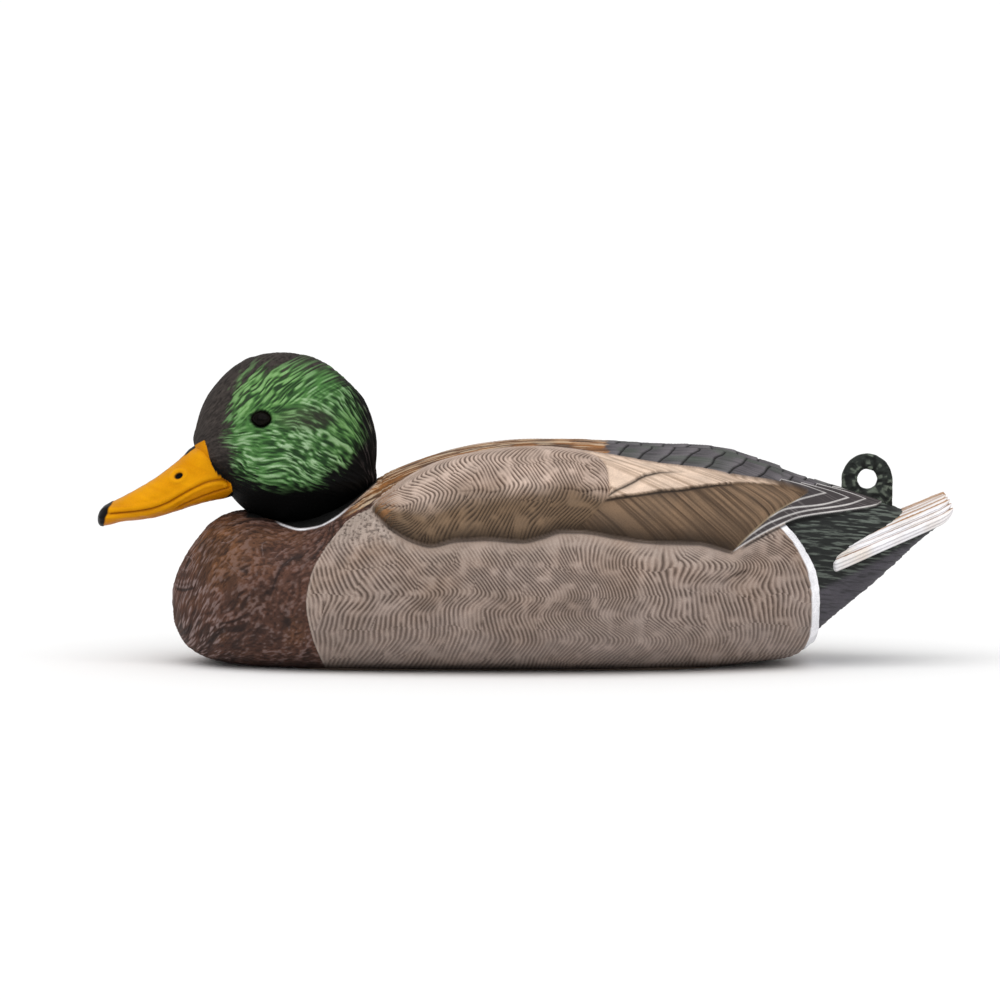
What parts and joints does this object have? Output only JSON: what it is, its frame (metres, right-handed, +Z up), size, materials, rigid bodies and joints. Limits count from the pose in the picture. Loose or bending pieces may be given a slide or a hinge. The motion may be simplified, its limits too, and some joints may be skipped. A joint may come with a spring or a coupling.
{
  "type": "floating duck decoy",
  "caption": "Resting mallard drake decoy with a turning head, feathered hollow body, flat ballasted hull, line ties and a tail loop.",
  "frame": {"origin": "on the surface that the decoy rests on, under the middle of its overall length and width", "axes": "+Z up, the bill points along -X, the tail along +X, the duck's left side faces -Y"},
  "size_m": [0.4064, 0.1684, 0.1478],
  "materials": {
    "shell_plastic": "painted, matte, moulded feather relief",
    "head_plastic": "painted black with green dry brushing",
    "bill_plastic": "painted orange yellow, satin",
    "eye_left_bead": "glossy black",
    "eye_right_bead": "glossy black",
    "tail_plastic": "painted white with brown grooves",
    "loop_plastic": "black, fine grain",
    "foam": "foam skin",
    "plate_plastic": "moulded, fine grain",
    "gasket_rubber": "flat sheet",
    "hull_screw_steel": "stainless",
    "ballast_iron": "bare, oiled",
    "ballast_screw_steel": "stainless",
    "front_pin_steel": "stainless",
    "rear_pin_steel": "stainless",
    "drain_rubber": "moulded",
    "plug_plastic": "moulded nylon",
    "bolt_steel": "stainless",
    "bush_plastic": "white nylon",
    "washer_steel": "stainless",
    "spring_steel": "spring steel",
    "nut_steel": "stainless"
  },
  "bodies": {
    "body": {"body_shell": "shell_plastic", "tail_feathers": "tail_plastic", "tail_loop": "loop_plastic", "foam_core": "foam", "hull_plate": "plate_plastic", "hull_gasket": "gasket_rubber", "hull_screws": "hull_screw_steel", "ballast_bar": "ballast_iron", "ballast_screws": "ballast_screw_steel", "front_line_pin": "front_pin_steel", "rear_line_pin": "rear_pin_steel", "drain_plug": "drain_rubber", "neck_bush": "bush_plastic"},
    "head": {"head_shell": "head_plastic", "bill": "bill_plastic", "eye_left": "eye_left_bead", "eye_right": "eye_right_bead", "neck_plug": "plug_plastic", "neck_bolt": "bolt_steel", "neck_washer": "washer_steel", "spring_washer": "spring_steel", "lock_nut": "nut_steel"}
  },
  "joints": [
    {"name": "head_turn", "type": "hinge", "parent": "body", "child": "head", "pos_m": [-0.1075, 0, 0.0645], "axis": [0, 0, 1], "range_deg": [-90, 90]}
  ]
}
